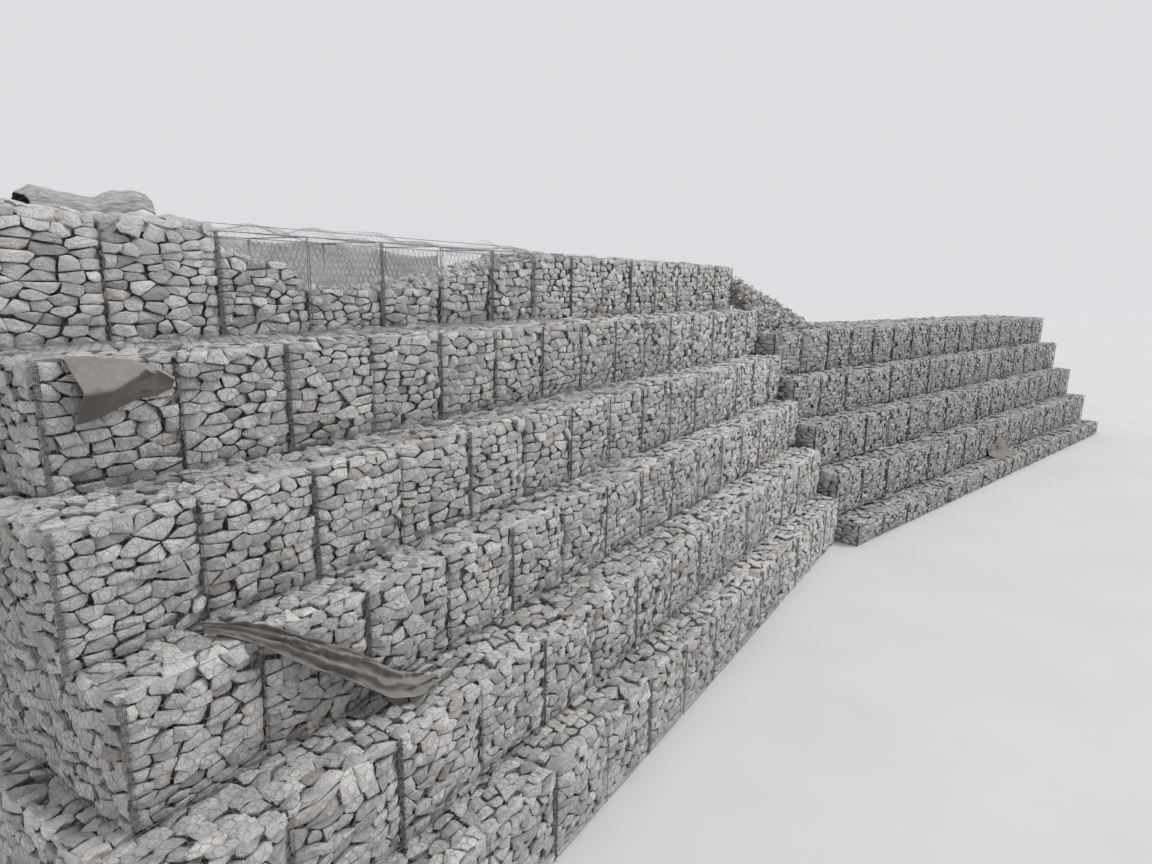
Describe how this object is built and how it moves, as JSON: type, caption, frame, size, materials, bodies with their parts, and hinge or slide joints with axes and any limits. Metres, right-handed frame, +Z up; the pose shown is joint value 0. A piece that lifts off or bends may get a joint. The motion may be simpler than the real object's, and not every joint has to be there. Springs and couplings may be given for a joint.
{
  "type": "stepped gabion retaining wall",
  "caption": "Stepped gabion retaining wall in two runs that meet at a bend, of stone-filled wire baskets, with its top course half filled and the lids folded back.",
  "frame": {"origin": "on the underside, below the point where the faces of the two runs meet", "axes": "+X along the left run towards the bend, +Y into the bank, +Z up"},
  "size_m": [35.0674, 10.7154, 6.2157],
  "materials": {
    "quarry_stone": "rough",
    "wire_mesh": "galvanised",
    "laced_wire": "galvanised",
    "filter_fabric": "matte"
  },
  "bodies": {
    "root": {"far_end_fabric": "filter_fabric", "left_back_fabric": "filter_fabric", "left_course_2_baskets": "quarry_stone", "left_course_2_seam_wires": "laced_wire", "left_course_3_baskets": "quarry_stone", "left_course_3_seam_wires": "laced_wire", "left_course_4_baskets": "quarry_stone", "left_course_4_seam_wires": "laced_wire", "left_course_5_baskets": "quarry_stone", "left_course_5_seam_wires": "laced_wire", "left_course_6_baskets": "quarry_stone", "left_course_6_seam_wires": "laced_wire", "loose_stone_heap": "quarry_stone", "near_end_fabric": "filter_fabric", "open_basket_back_mesh": "wire_mesh", "open_basket_diaphragm_1": "wire_mesh", "open_basket_diaphragm_2": "wire_mesh", "open_basket_diaphragm_3": "wire_mesh", "open_basket_diaphragm_4": "wire_mesh", "open_basket_front_mesh": "wire_mesh", "open_basket_lids": "wire_mesh", "open_basket_lining_fabric": "filter_fabric", "open_basket_stone_fill_1": "quarry_stone", "open_basket_stone_fill_2": "quarry_stone", "open_basket_stone_fill_3": "quarry_stone", "open_basket_stone_fill_4": "quarry_stone", "open_basket_stone_fill_5": "quarry_stone", "right_back_fabric": "filter_fabric", "right_course_2_baskets": "quarry_stone", "right_course_2_seam_wires": "laced_wire", "right_course_3_baskets": "quarry_stone", "right_course_3_seam_wires": "laced_wire", "right_course_4_baskets": "quarry_stone", "right_course_4_seam_wires": "laced_wire", "right_course_5_baskets": "quarry_stone", "right_course_5_seam_wires": "laced_wire", "right_course_6_baskets": "quarry_stone", "right_course_6_seam_wires": "laced_wire", "toe_fabric": "filter_fabric", "top_course_far_baskets": "quarry_stone", "top_course_near_basket": "quarry_stone", "top_course_seam_wires": "laced_wire", "top_end_fabric": "filter_fabric"}
  },
  "joints": []
}
